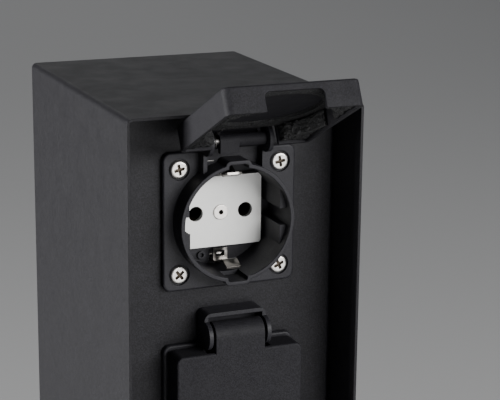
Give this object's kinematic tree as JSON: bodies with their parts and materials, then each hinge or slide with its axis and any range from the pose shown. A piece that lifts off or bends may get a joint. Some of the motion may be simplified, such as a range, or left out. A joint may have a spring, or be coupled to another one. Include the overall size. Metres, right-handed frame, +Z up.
{
  "type": "garden socket post",
  "caption": "Upright folded steel post with an open front recess that holds earthed panel sockets, each under a sprung hinged lid.",
  "frame": {"origin": "middle of the casing's footprint at ground level, which is the middle of the four anchor holes on the underside of the base plate", "axes": "+Z up along the post, +X to the right as seen from the front, +Y to the back; the open side and the sockets face -Y"},
  "size_m": [0.0918, 0.1546, 0.4153],
  "materials": {
    "coated_steel": "fine-textured anthracite powder coat",
    "dark_plastic": "moulded black plastic, fine spark-eroded grain on the lid",
    "insert_plastic": "light grey thermoset, satin",
    "screw_steel": "nickel-plated steel",
    "nickel": "bright nickel plating",
    "zinc_steel": "zinc-plated steel",
    "black_screw": "black-coated steel",
    "brass": "plain brass",
    "rubber": "black rubber",
    "foam": "black closed-cell foam rubber",
    "pale_plastic": "ivory moulded plastic",
    "wire_brown": "soft brown wire insulation",
    "wire_blue": "soft blue wire insulation",
    "wire_green_yellow": "soft green and yellow wire insulation"
  },
  "bodies": {
    "post": {"outer_casing": "coated_steel", "front_panel": "coated_steel", "panel_screws": "black_screw", "panel_nuts": "zinc_steel", "base_plate": "zinc_steel", "casing_screws": "black_screw", "casing_nuts": "zinc_steel", "cable_grommet": "rubber", "terminal_bracket": "zinc_steel", "bracket_screws": "zinc_steel", "terminal_block": "pale_plastic", "terminal_clamps": "brass", "terminal_clamp_screws": "zinc_steel", "block_screws": "zinc_steel", "cable_clamp": "zinc_steel", "cable_clamp_screws": "zinc_steel", "earth_stud": "zinc_steel", "earth_lug": "nickel", "earth_nut": "zinc_steel", "live_wires": "wire_brown", "neutral_wires": "wire_blue", "earth_wires": "wire_green_yellow", "upper_housing": "dark_plastic", "upper_gasket": "foam", "upper_contact_insert": "insert_plastic", "upper_insert_rivet": "nickel", "upper_earth_clip": "nickel", "upper_contact_sleeves": "brass", "upper_terminal_screws": "zinc_steel", "upper_flange_screws": "screw_steel", "upper_flange_nuts": "zinc_steel", "upper_rear_cover": "dark_plastic", "upper_hinge_pin": "screw_steel", "upper_lid_spring": "screw_steel", "lower_housing": "dark_plastic", "lower_gasket": "foam", "lower_contact_insert": "insert_plastic", "lower_insert_rivet": "nickel", "lower_earth_clip": "nickel", "lower_contact_sleeves": "brass", "lower_terminal_screws": "zinc_steel", "lower_flange_screws": "screw_steel", "lower_flange_nuts": "zinc_steel", "lower_rear_cover": "dark_plastic", "lower_hinge_pin": "screw_steel", "lower_lid_spring": "screw_steel"},
    "upper_lid": {"upper_lid": "dark_plastic", "upper_lid_seal": "foam"},
    "lower_lid": {"lower_lid": "dark_plastic", "lower_lid_seal": "foam"}
  },
  "joints": [
    {"name": "upper_lid_hinge", "type": "hinge", "parent": "post", "child": "upper_lid", "pos_m": [0, -0.0472, 0.3876], "axis": [1, 0, 0], "range_deg": [0, 116.6], "stiffness_Nm_per_rad": 0.0025, "springref_deg": 131.78, "deforming": ["upper_lid_spring"]},
    {"name": "lower_lid_hinge", "type": "hinge", "parent": "post", "child": "lower_lid", "pos_m": [0, -0.0472, 0.3176], "axis": [-1, 0, 0], "range_deg": [0, 120], "stiffness_Nm_per_rad": 0.0025, "springref_deg": -20.05, "deforming": ["lower_lid_spring"]}
  ]
}
